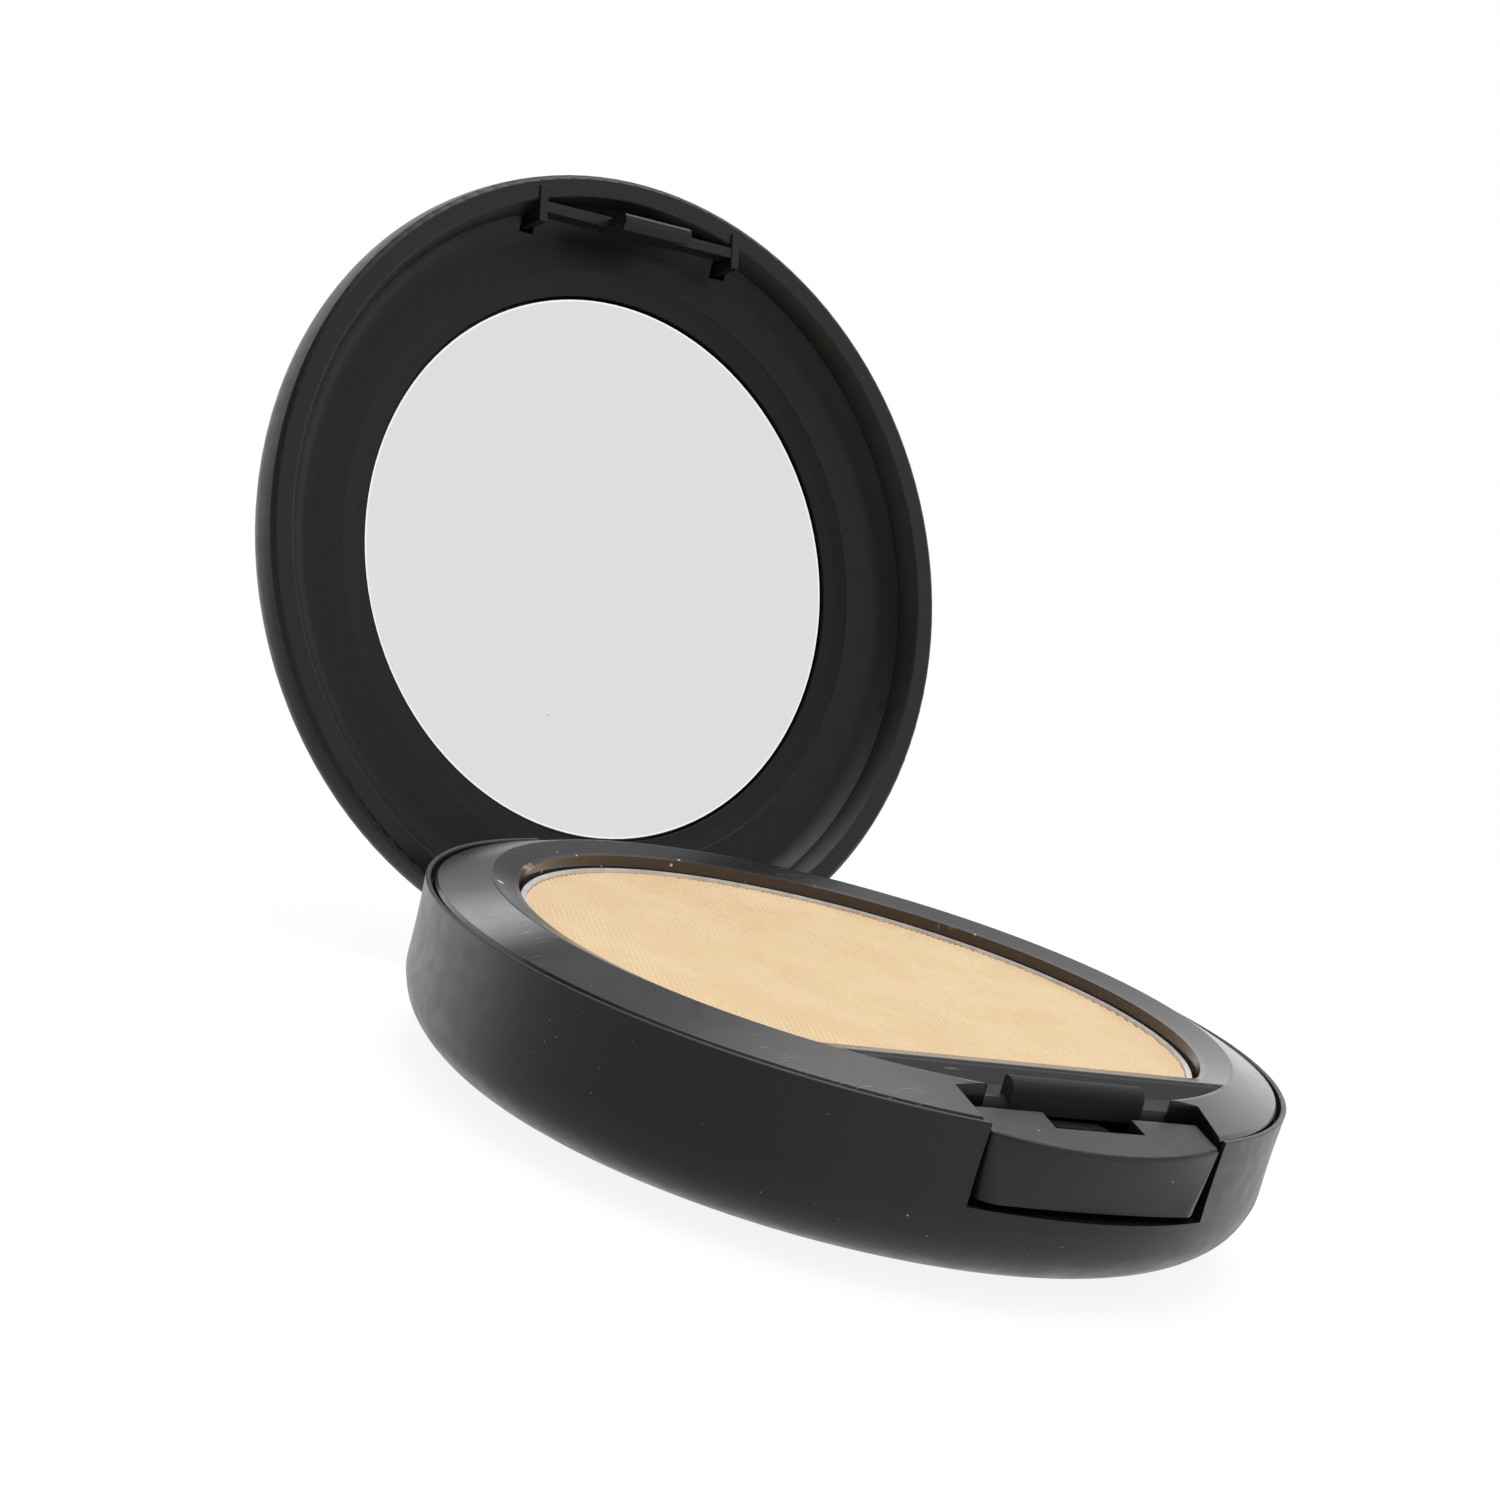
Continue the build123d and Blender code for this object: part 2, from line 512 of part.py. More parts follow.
def swung_open(shape):
    return shape.rotate(Axis((0, HINGE_Y, HINGE_Z), (1, 0, 0)), -OPEN_ANGLE)


def lid_dish():
    outer = shoulder((CROWN_R, CROWN_Z), (LID_WIDE_R, LID_WIDE_Z))
    inner = shoulder((CROWN_INNER_R, CROWN_Z - LID_TOP), (SHOULDER_R, SHOULDER_Z))
    outline = [
        ThreePointArc((0, CLOSED_Z), (CROWN_R / 2, CLOSED_Z - CROWN_SAG), (CROWN_R, CROWN_Z)),
        outer,
        ThreePointArc((LID_WIDE_R, LID_WIDE_Z), (LID_WIDE_R - CROWN_SAG, (LID_WIDE_Z + RIM_Z) / 2),
                      (RIM_R, RIM_Z)),
        Line((RIM_R, RIM_Z), (RIM_INNER_R, RIM_Z)),
        ThreePointArc((RIM_INNER_R, RIM_Z), (WALL_R + WALL_BOW, (RIM_Z + WALL_Z) / 2),
                      (WALL_R, WALL_Z)),
        Line((WALL_R, WALL_Z), (SHOULDER_R, WALL_Z)),
        Line((SHOULDER_R, WALL_Z), (SHOULDER_R, SHOULDER_Z)),
        inner,
        Line((CROWN_INNER_R, CROWN_Z - LID_TOP), (0, CLOSED_Z - LID_TOP)),
        Line((0, CLOSED_Z - LID_TOP), (0, CLOSED_Z)),
    ]
    return turned_rounded(outline, [((RIM_R, RIM_Z), RIM_OUTER_ROUND, fillet),
                                    ((RIM_INNER_R, RIM_Z), RIM_INNER_ROUND, fillet)])


def catch_posts(grow=0.0):
    """Two plates that carry the catch beam; grow gives their clearance in the frame."""
    post = block((POST_X - POST_T / 2 - grow, POST_X + POST_T / 2 + grow),
                 (POST_FRONT_Y - grow, POST_BACK_Y + grow), (POST_END_Z, SHOULDER_Z + 1))
    return both_sides(post)


def lid_catch():
    """Beam between the posts with a barbed hook in its middle."""
    beam = block((-POST_X, POST_X), (BEAM_FRONT_Y, BEAM_BACK_Y), (POST_END_Z + PART_GAP, BEAM_Z))
    hook = slab([(BEAM_FRONT_Y, BEAM_Z), (BEAM_FRONT_Y, POST_END_Z + PART_GAP),
                 (HOOK_FRONT_Y, POST_END_Z + PART_GAP), (HOOK_FRONT_Y, HOOK_END_Z + HOOK_TIP),
                 (HOOK_FRONT_Y + HOOK_TIP, HOOK_END_Z), (HOOK_BACK_Y, HOOK_END_Z),
                 (BARB_Y, HOOK_END_Z + BARB_RISE), (BARB_Y, BARB_TOP_Z),
                 (HOOK_BACK_Y, BARB_TOP_Z), (HOOK_BACK_Y, BEAM_Z)], HOOK_HALF)
    return [beam, hook]


def lid_arm():
    """Hinge arm from the back of the rim down to the pin, with its stop heel."""
    arm = slab([(ARM_FRONT_Y, HINGE_Z), (ARM_FRONT_Y, ARM_TOE_Z), (ARM_KNEE_Y, ARM_KNEE_Z),
                (WALL_R, RIM_Z), (WALL_R + WALL_BOW, WALL_Z), (ARM_INNER_Y, WALL_Z),
                (ARM_OUTER_Y, RIM_Z), (ARM_INNER_Y, ARM_WAIST_Z), (HINGE_Y + KNUCKLE_R, HINGE_Z)],
               LID_KNUCKLE_HALF)
    arm += rod(HINGE_Y, HINGE_Z, KNUCKLE_R, (-LID_KNUCKLE_HALF, LID_KNUCKLE_HALF))
    heel = block((-LID_KNUCKLE_HALF, LID_KNUCKLE_HALF), (-HEEL_REACH, 0), (-HEEL_HALF, HEEL_HALF))
    arm += Pos(0, HINGE_Y, HINGE_Z) * Rot(OPEN_ANGLE - HEEL_RISE, 0, 0) * heel
    return arm


def make_lid_shell():
    shell = lid_dish()
    boss_top = CROWN_Z - LID_TOP / 2
    ring = Cylinder(BOSS_OUT, CUT_REACH) - Cylinder(BOSS_IN, CUT_REACH)
    ring &= Pos(0, 0, (FRAME_Z + FRAME_T + boss_top) / 2) * Cylinder(
        CUT_REACH, boss_top - FRAME_Z - FRAME_T)
    top_z = CLOSED_Z - TRIM_SKIN
    side_r = LID_WIDE_R - TRIM_SKIN - PART_GAP
    dome = turned([
        ThreePointArc((0, top_z), (CROWN_R / 2, top_z - CROWN_SAG), (CROWN_R, CROWN_Z - TRIM_SKIN)),
        shoulder((CROWN_R, CROWN_Z - TRIM_SKIN), (side_r, LID_WIDE_Z)),
        Line((side_r, LID_WIDE_Z), (0, LID_WIDE_Z)),
        Line((0, LID_WIDE_Z), (0, top_z)),
    ])
    shell += ring & dome
    for post in catch_posts():
        shell += post & (dome + Pos(0, 0, LID_WIDE_Z - 5) * Cylinder(RIM_R - PART_GAP, 10))
    for piece in lid_catch():
        shell += piece
    shell += lid_arm()
    shell -= rod(HINGE_Y, HINGE_Z, PIN_R + RUNNING_GAP, (-PIN_HALF, PIN_HALF))
    return swung_open(shell)


def make_mirror_frame():
    """Plate inside the lid: recess for the mirror, flat ring, and gutter up to the rim."""
    mirror_back = MIRROR_Z + MIRROR_T + MIRROR_GLUE_T
    frame_back = FRAME_Z + FRAME_T
    pocket_r = MIRROR_R + POCKET_GAP
    plate = turned([
        Line((0, FRAME_Z), (GUTTER_START_R, FRAME_Z)),
        ThreePointArc((GUTTER_START_R, FRAME_Z), GUTTER_MIDDLE, (WALL_R, GUTTER_EDGE_Z)),
        Polyline((WALL_R, GUTTER_EDGE_Z), (FRAME_R, GUTTER_EDGE_Z), (FRAME_R, SHOULDER_Z),
                 (FRAME_R - 1, frame_back), (BEVEL_R, frame_back),
                 (pocket_r + POCKET_WALL, mirror_back + FRAME_BACK_T), (0, mirror_back + FRAME_BACK_T),
                 (0, FRAME_Z)),
    ])
    recess = turned(Polyline(
        (0, mirror_back), (pocket_r, mirror_back), (pocket_r, MIRROR_Z - BEVEL_STEP),
        (BEVEL_INNER_R, FRAME_Z + BEVEL_DEPTH), (BEVEL_R, FRAME_Z + BEVEL_EDGE),
        (BEVEL_R + PART_GAP, FRAME_Z - 1), (0, FRAME_Z - 1), close=True))
    plate -= Pos(0, MIRROR_SHIFT_Y, 0) * recess
    for post in catch_posts(POST_HOLE):
        plate -= post
    return swung_open(plate)


def make_mirror():
    glass = Pos(0, MIRROR_SHIFT_Y, MIRROR_Z + MIRROR_T / 2) * Cylinder(MIRROR_R, MIRROR_T)
    front_edge = glass.edges().filter_by(GeomType.CIRCLE).group_by(Axis.Z)[0]
    return swung_open(chamfer(front_edge, MIRROR_CHAMFER))


def make_mirror_adhesive():
    patch = Pos(0, MIRROR_SHIFT_Y, MIRROR_Z + MIRROR_T + MIRROR_GLUE_T / 2)
    return swung_open(patch * Cylinder(MIRROR_GLUE_R, MIRROR_GLUE_T))


NODES = {
    "base_shell": make_base_shell,
    "base_label": make_base_label,
    "sponge_applicator": make_sponge,
    "hinge_pin": make_hinge_pin,
    "powder_tray": make_powder_tray,
    "powder_pan": make_powder_pan,
    "pan_adhesive": make_pan_adhesive,
    "pressed_powder": make_pressed_powder,
    "latch_button": make_latch_button,
    "latch_spring_left": lambda: make_latch_spring(-1),
    "latch_spring_right": lambda: make_latch_spring(1),
    "lid_shell": make_lid_shell,
    "mirror_frame": make_mirror_frame,
    "mirror": make_mirror,
    "mirror_adhesive": make_mirror_adhesive,
}

os.makedirs("parts", exist_ok=True)
for name, make in NODES.items():
    export_step(make(), f"parts/{name}.step")
    print(name)
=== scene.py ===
import math

import bmesh
import bpy
from mathutils import Matrix, Vector, noise


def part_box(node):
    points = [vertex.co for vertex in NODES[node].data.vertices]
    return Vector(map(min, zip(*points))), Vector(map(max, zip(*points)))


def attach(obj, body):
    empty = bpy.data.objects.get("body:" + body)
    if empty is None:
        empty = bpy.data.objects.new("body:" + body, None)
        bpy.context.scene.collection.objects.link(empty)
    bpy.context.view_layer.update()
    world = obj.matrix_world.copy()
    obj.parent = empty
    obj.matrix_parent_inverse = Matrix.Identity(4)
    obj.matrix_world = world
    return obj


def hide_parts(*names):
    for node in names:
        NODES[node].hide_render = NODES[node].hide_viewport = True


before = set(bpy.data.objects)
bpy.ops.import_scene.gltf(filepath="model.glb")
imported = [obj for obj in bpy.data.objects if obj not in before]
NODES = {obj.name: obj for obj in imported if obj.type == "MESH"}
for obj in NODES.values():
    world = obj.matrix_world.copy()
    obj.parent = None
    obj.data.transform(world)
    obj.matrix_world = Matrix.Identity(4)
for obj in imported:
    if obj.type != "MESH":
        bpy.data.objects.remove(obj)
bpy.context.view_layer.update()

MM = 0.001
WHITE = (1.0, 1.0, 1.0, 1.0)


# ---------------------------------------------------------------- camera

CAMERA_AT = Vector((-0.19771, -0.25081, 0.08548))
CAMERA_AZIMUTH = math.radians(-35.55)
CAMERA_ELEVATION = math.radians(9.25)
CAMERA_ROLL = math.radians(15.33)
CAMERA_LENS = 85.3
CAMERA_SENSOR = 36.0
CAMERA_NEAREST = 0.01
CAMERA_FARTHEST = 20.0

# Level directions from the camera into the scene, and to the camera's right
AWAY = Vector((-math.sin(CAMERA_AZIMUTH), math.cos(CAMERA_AZIMUTH), 0.0))
RIGHT = Vector((math.cos(CAMERA_AZIMUTH), math.sin(CAMERA_AZIMUTH), 0.0))


def make_camera():
    data = bpy.data.cameras.new("camera")
    data.lens = CAMERA_LENS
    data.sensor_width = CAMERA_SENSOR
    data.clip_start = CAMERA_NEAREST
    data.clip_end = CAMERA_FARTHEST
    back = Vector((0.0, 0.0, math.sin(CAMERA_ELEVATION))) - AWAY * math.cos(CAMERA_ELEVATION)
    raised = back.cross(RIGHT)
    right = RIGHT * math.cos(CAMERA_ROLL) + raised * math.sin(CAMERA_ROLL)
    up = back.cross(right)
    turned = Matrix((right, up, back)).transposed().to_4x4()
    camera = bpy.data.objects.new("camera", data)
    camera.matrix_world = Matrix.Translation(CAMERA_AT) @ turned
    bpy.context.scene.collection.objects.link(camera)
    bpy.context.scene.camera = camera


# ---------------------------------------------------------------- node trees

class Tree:
    """A node tree that is built up by short calls, most of which return an output socket."""

    def __init__(self, tree):
        self.tree = tree
        self.tree.nodes.clear()

    def node(self, kind, **settings):
        """A new node itself, with its settings."""
        made = self.tree.nodes.new("ShaderNode" + kind)
        for key, value in settings.items():
            setattr(made, key, value)
        return made

    def feed(self, socket, value):
        """Link a socket, or set it where the value is a constant."""
        if isinstance(value, bpy.types.NodeSocket):
            self.tree.links.new(value, socket)
        elif value is not None:
            socket.default_value = value

    def math(self, operation, a, b=None, clamp=False):
        made = self.node("Math", operation=operation, use_clamp=clamp)
        self.feed(made.inputs[0], a)
        self.feed(made.inputs[1], b)
        return made.outputs[0]

    def between(self, value, low, high, to_low=0.0, to_high=1.0, smooth=True):
        """Ramp from to_low at low to to_high at high, and level outside them."""
        made = self.node("MapRange", interpolation_type="SMOOTHSTEP" if smooth else "LINEAR")
        self.feed(made.inputs["Value"], value)
        made.inputs["From Min"].default_value = low
        made.inputs["From Max"].default_value = high
        self.feed(made.inputs["To Min"], to_low)
        self.feed(made.inputs["To Max"], to_high)
        return made.outputs["Result"]

    def mix(self, factor, a, b):
        made = self.node("Mix", data_type="RGBA")
        self.feed(made.inputs["Factor"], factor)
        self.feed(made.inputs["A"], a)
        self.feed(made.inputs["B"], b)
        return made.outputs["Result"]

    def blend(self, kind, a, b):
        """Two shaders joined: an AddShader, or a MixShader's last two inputs."""
        made = self.node(kind)
        self.feed(made.inputs[-2], a)
        self.feed(made.inputs[-1], b)
        return made

    def dot(self, vector, direction):
        made = self.node("VectorMath", operation="DOT_PRODUCT")
        self.feed(made.inputs[0], vector)
        made.inputs[1].default_value = direction
        return made.outputs["Value"]

    def length(self, vector):
        made = self.node("VectorMath", operation="LENGTH")
        self.feed(made.inputs[0], vector)
        return made.outputs["Value"]

    def camera_ray(self):
        return self.node("LightPath").outputs["Is Camera Ray"]


# ---------------------------------------------------------------- light and floor

# Each ramp is where the light starts and is full, as a cosine, and its strength at the two.
ROOM_BY_HEIGHT = (0.10, 0.45, 0.52, 0.10)
ROOM_ACROSS = (-0.5, 0.6, 0.85, 1.3)
BEHIND_FROM = 0.42
BEHIND_FULL = 0.95
BEHIND_STRENGTH = 1.25
ABOVE = (0.55, 0.98, 0.0, 1.0)

# Bright cards: the direction each one stands in, and its ramp. The mirror shows the first at rest.
CARDS = (
    (Vector((0.574, -0.683, 0.451)).normalized(), (0.93, 0.985, 0.0, 0.95)),
    ((AWAY * 0.62 - RIGHT * 0.78).normalized(), (0.68, 0.94, 0.0, 1.55)),
    ((AWAY * 0.68 + RIGHT * 0.73).normalized(), (0.72, 0.96, 0.0, 1.3)),
)

SOFTBOX_AT = Vector((0.05, 0.10, 0.55))
SOFTBOX_AIM = Vector((0.0, 0.0, 0.02))
SOFTBOX_SIDE = 0.45
SOFTBOX_WATTS = 1.7

FLOOR_RADIUS = 0.9
FLOOR_SIDES = 96
FLOOR_DROP = 0.02 * MM           # keeps the floor clear of the foot
FLOOR_FADE = (0.10, 0.42)        # from the middle, where it starts to turn clear and is clear
FLOOR_GREY = (0.2, 0.2, 0.2, 1.0)
FLOOR_GLOW = 0.88


def make_world():
    """A studio set by direction, which the camera itself sees as plain white."""
    world = bpy.data.worlds.new("studio")
    bpy.context.scene.world = world
    world.use_nodes = True
    t = Tree(world.node_tree)
    direction = t.node("TexCoord").outputs["Generated"]
    height = t.dot(direction, (0.0, 0.0, 1.0))
    room = t.math("MULTIPLY", t.between(height, *ROOM_BY_HEIGHT),
                  t.between(t.dot(direction, RIGHT), *ROOM_ACROSS))
    behind = t.between(t.dot(direction, AWAY), BEHIND_FROM, BEHIND_FULL, room, BEHIND_STRENGTH)
    light = t.math("MAXIMUM", behind, t.between(height, *ABOVE))
    for card, ramp in CARDS:
        light = t.math("MAXIMUM", light, t.between(t.dot(direction, card), *ramp))
    studio = t.node("Background")
    studio.inputs["Color"].default_value = WHITE
    t.feed(studio.inputs["Strength"], light)
    paper = t.node("Background")
    paper.inputs["Color"].default_value = WHITE
    seen = t.blend("MixShader", studio.outputs[0], paper.outputs[0])
    t.feed(seen.inputs[0], t.camera_ray())
    t.feed(t.node("OutputWorld").inputs["Surface"], seen.outputs[0])


def make_softbox():
    data = bpy.data.lights.new("overhead", "AREA")
    data.shape = "RECTANGLE"
    data.size = SOFTBOX_SIDE
    data.size_y = SOFTBOX_SIDE
    data.energy = SOFTBOX_WATTS
    lamp = bpy.data.objects.new("overhead", data)
    lamp.location = SOFTBOX_AT
    lamp.rotation_euler = (SOFTBOX_AIM - SOFTBOX_AT).to_track_quat("-Z", "Y").to_euler()
    bpy.context.scene.collection.objects.link(lamp)


def floor_material():
    """Pale paper that fades out away from the object, and that only the camera sees."""
    material = bpy.data.materials.new("paper_floor")
    material.use_nodes = True
    t = Tree(material.node_tree)
    fade = t.between(t.length(t.node("TexCoord").outputs["Object"]), *FLOOR_FADE)
    paper = t.node("BsdfDiffuse")
    paper.inputs["Color"].default_value = FLOOR_GREY
    glow = t.node("Emission")
    glow.inputs["Color"].default_value = WHITE
    glow.inputs["Strength"].default_value = FLOOR_GLOW
    lit = t.blend("AddShader", paper.outputs[0], glow.outputs[0])
    clear = t.node("BsdfTransparent")
    shown = t.blend("MixShader", lit.outputs[0], clear.outputs[0])
    unseen = t.math("SUBTRACT", 1.0, t.camera_ray())
    t.feed(shown.inputs[0], t.math("MAXIMUM", fade, unseen))
    t.feed(t.node("OutputMaterial").inputs["Surface"], shown.outputs[0])
    return material


def make_floor():
    bm = bmesh.new()
    bmesh.ops.create_circle(bm, cap_ends=True, segments=FLOOR_SIDES, radius=FLOOR_RADIUS)
    mesh = bpy.data.meshes.new("floor")
    bm.to_mesh(mesh)
    bm.free()
    mesh.materials.append(floor_material())
    floor = bpy.data.objects.new("floor", mesh)
    floor.location.z = -FLOOR_DROP
    bpy.context.scene.collection.objects.link(floor)


# ---------------------------------------------------------------- materials

class Paint(Tree):
    """A principled material. Lengths in its patterns are millimetres of the row frame."""

    def __init__(self, name, roughness=0.5, metallic=0.0, **fixed):
        self.material = bpy.data.materials.new(name)
        self.material.use_nodes = True
        super().__init__(self.material.node_tree)
        self.shader = self.node("BsdfPrincipled")
        self.shader.inputs["Metallic"].default_value = metallic
        self.shader.inputs["Roughness"].default_value = roughness
        for key, value in fixed.items():
            self.shader.inputs[key.replace("_", " ")].default_value = value
        self.feed(self.node("OutputMaterial").inputs["Surface"], self.shader.outputs[0])
        scale = self.node("VectorMath", operation="SCALE")
        self.feed(scale.inputs[0], self.node("TexCoord").outputs["Object"])
        scale.inputs["Scale"].default_value = 1.0 / MM
        self.place = scale.outputs[0]
        split = self.node("SeparateXYZ")
        self.feed(split.inputs[0], self.place)
        self.x, self.y, self.z = split.outputs

    def stretched(self, scale, turn=(0.0, 0.0, 0.0)):
        """The place again, stretched and turned, for streaks."""
        made = self.node("Mapping")
        self.feed(made.inputs["Vector"], self.place)
        made.inputs["Rotation"].default_value = turn
        made.inputs["Scale"].default_value = scale
        return made.outputs[0]

    def cloud(self, per_mm, detail=2.0, place=None):
        made = self.node("TexNoise")
        self.feed(made.inputs["Vector"], place or self.place)
        made.inputs["Scale"].default_value = per_mm
        made.inputs["Detail"].default_value = detail
        return made.outputs["Fac"]

    def patches(self, per_mm, detail, low, high, to_low=0.0, to_high=1.0):
        """A cloud cut into patches: it passes from to_low to to_high between low and high."""
        return self.between(self.cloud(per_mm, detail), low, high, to_low, to_high)

    def specks(self, per_mm, radius, share=1.0, soft=0.5):
        """Small round grains up to a radius in millimetres, in this share of the cells."""
        made = self.node("TexVoronoi")
        self.feed(made.inputs["Vector"], self.place)
        made.inputs["Scale"].default_value = per_mm
        reach = radius * per_mm
        size = self.node("SeparateColor")
        self.feed(size.inputs[0], made.outputs["Color"])
        edge = self.between(size.outputs[0], 1.0 - share, 1.0, -soft * reach, reach, smooth=False)
        inward = self.math("SUBTRACT", made.outputs["Distance"], edge)
        return self.between(inward, 0.0, -soft * reach)

    def radius(self):
        """Distance from the object's upright axis."""
        flat = self.node("CombineXYZ")
        self.feed(flat.inputs[0], self.x)
        self.feed(flat.inputs[1], self.y)
        return self.length(flat.outputs[0])

    def both(self, *masks):
        """Where all of the masks are."""
        joined = masks[0]
        for mask in masks[1:]:
            joined = self.math("MULTIPLY", joined, mask)
        return joined

    def bump(self, height, depth_mm, strength=1.0, bevel_mm=None):
        made = self.node("Bump")
        made.inputs["Strength"].default_value = strength
        made.inputs["Distance"].default_value = depth_mm * MM
        self.feed(made.inputs["Height"], height)
        if bevel_mm:
            rounded = self.node("Bevel", samples=4)
            rounded.inputs["Radius"].default_value = bevel_mm * MM
            self.feed(made.inputs["Normal"], rounded.outputs[0])
        self.feed(self.shader.inputs["Normal"], made.outputs[0])

    def colour(self, value):
        self.feed(self.shader.inputs["Base Color"], value)

    def roughness(self, value):
        self.feed(self.shader.inputs["Roughness"], value)


def even(value):
    """A roughness as the grey that Mix takes."""
    return (value, value, value, 1.0)


DUST = (0.62, 0.60, 0.55, 1.0)
DUST_FILM = (0.1272, 0.1200, 0.1128, 1.0)
CRUMB = (0.80, 0.63, 0.42, 1.0)
SCRATCH = (0.30, 0.30, 0.32, 1.0)
EDGE_ROUNDING = 0.1              # mm, how far edges of the plastic look worn round

# Places on the deck, in mm: where each one starts and where it is full
VALLEY_Y = (-27.7, -28.1)        # in front of the ridge
VALLEY_RADIUS = (34.9, 34.8)
# painted shade: the valley's colour, made near-black as the shade in that hollow
VALLEY_SHADE_BLACK = (0.0045, 0.0045, 0.0055, 1.0)
VALLEY_ROUGHNESS = 0.70
WELL_Y = (-24.6, -24.4)
WELL_RADIUS = (32.75, 32.6)
WELL_BROWN = (0.050, 0.034, 0.025, 1.0)
WELL_ROUGHNESS = 0.13
LIP_Z = (16.15, 16.35)           # top of the well's wall, where powder clings
LIP_POWDER = (0.44, 0.31, 0.20, 1.0)


def deck_shade_and_powder(p, colour, rough):
    """The valley in front of the ridge painted dark as its shade, and the powder on the well's
    walls.
    """
    valley = p.both(p.between(p.y, *VALLEY_Y), p.between(p.radius(), *VALLEY_RADIUS))
    # painted shade: the valley is darkened in colour, and made rougher
    colour = p.mix(valley, colour, VALLEY_SHADE_BLACK)
    rough = p.mix(valley, rough, even(VALLEY_ROUGHNESS))
    well = p.both(p.between(p.radius(), *WELL_RADIUS), p.between(p.y, *WELL_Y))
    colour = p.mix(well, colour, WELL_BROWN)
    rough = p.mix(well, rough, even(WELL_ROUGHNESS))
    clinging = p.patches(per_mm=0.16, detail=4.0, low=0.58, high=0.66)
    lip = p.both(well, p.between(p.z, *LIP_Z), clinging)
    colour = p.mix(lip, colour, LIP_POWDER)
    splashes = p.both(well, p.specks(per_mm=1.0, radius=0.22, share=0.30))
    return p.mix(splashes, colour, CRUMB), rough


def scratches(p, colour, strength):
    streaks = p.cloud(per_mm=1.0, detail=5.0, place=p.stretched((0.25, 5.0, 1.0), (0.0, 0.0, 0.6)))
    where = p.patches(per_mm=0.15, detail=2.0, low=0.50, high=0.62, to_high=strength)
    return p.mix(p.both(p.between(streaks, 0.62, 0.70), where), colour, SCRATCH)


def black_plastic(name, tone, roughness, grain=0.006, dust=0.16, dust_share=0.30, crumb_share=0.0,
                  film=0.10, scratched=0.0, gloss=0.5, deck=False):
    """Moulded black plastic: fine grain, a thin uneven film of dust, bright grains and crumbs; on
    the deck, painted shade in the valley and powder in the well.
    """
    p = Paint(name, roughness, Specular_IOR_Level=gloss)
    dusty = p.patches(per_mm=0.09, detail=3.0, low=0.35, high=0.7)
    haze = p.both(p.patches(per_mm=3.0, detail=4.0, low=0.5, high=0.85, to_high=film), dusty)
    colour = p.mix(haze, tone, DUST_FILM)
    rough = p.patches(per_mm=0.5, detail=3.0, low=0.3, high=0.7,
                      to_low=roughness * 0.92, to_high=roughness * 1.08)
    if deck:
        colour, rough = deck_shade_and_powder(p, colour, rough)
    if scratched:
        colour = scratches(p, colour, scratched)
    raised = p.math("MAXIMUM", p.specks(per_mm=0.42, radius=dust, share=dust_share),
                    p.specks(per_mm=0.9, radius=dust * 0.45, share=dust_share))
    colour = p.mix(raised, colour, DUST)
    if crumb_share:
        crumbs = p.specks(per_mm=0.16, radius=0.42, share=crumb_share, soft=0.3)
        colour = p.mix(crumbs, colour, CRUMB)
        raised = p.math("MAXIMUM", raised, crumbs)
    p.colour(colour)
    p.roughness(p.math("ADD", rough, p.math("MULTIPLY", raised, 0.4), clamp=True))
    surface = p.math("ADD", p.cloud(per_mm=9.0, detail=3.0), p.math("MULTIPLY", raised, 4.0))
    p.bump(surface, depth_mm=grain, bevel_mm=EDGE_ROUNDING)
    return p.material


POWDER_PALE = (0.88, 0.69, 0.445, 1.0)
POWDER_MAIN = (0.84, 0.635, 0.395, 1.0)
POWDER_GRAIN = (0.70, 0.47, 0.26, 1.0)
# painted shade: the colour of the imprint's grooves
POWDER_GROOVE_SHADE = (0.65, 0.445, 0.25, 1.0)
POWDER_WORN = (0.66, 0.36, 0.18, 1.0)
POWDER_SPECK = (0.50, 0.27, 0.14, 1.0)
WORN_Y = (6.0, 16.0)             # mm, towards the back


def powder_material():
    """Pressed beige powder with its twill imprint, whose grooves are painted darker as shade, and
    a worn patch towards the back.
    """
    p = Paint("pressed_powder", roughness=0.95, Specular_IOR_Level=0.2)
    base = p.mix(p.patches(per_mm=0.16, detail=4.0, low=0.3, high=0.7), POWDER_MAIN, POWDER_PALE)
    colour = p.mix(p.patches(per_mm=5.0, detail=3.0, low=0.45, high=0.8), base, POWDER_GRAIN)
    across = p.dot(p.place, (math.cos(TWILL_TURN), math.sin(TWILL_TURN), 0.0))
    line = p.math("SINE", p.math("MULTIPLY", across, 2 * math.pi * MM / TWILL_PITCH))
    kept = p.patches(per_mm=0.10, detail=2.0, low=0.30, high=0.60, to_low=0.65)
    twill = p.both(p.between(line, -1.0, 1.0, to_high=0.42), kept)
    # painted shade: darker stripes along the imprint's lines stand in for the shade in its grooves
    colour = p.mix(twill, colour, POWDER_GROOVE_SHADE)
    worn = p.both(p.between(p.y, *WORN_Y),
                  p.patches(per_mm=0.10, detail=3.0, low=0.42, high=0.62),
                  p.patches(per_mm=3.2, detail=5.0, low=0.50, high=0.66, to_high=0.55))
    colour = p.mix(worn, colour, POWDER_WORN)
    p.colour(p.mix(p.specks(per_mm=0.9, radius=0.15, share=0.5), colour, POWDER_SPECK))
    p.bump(p.cloud(per_mm=12.0, detail=4.0), depth_mm=0.03, strength=0.8)
    return p.material


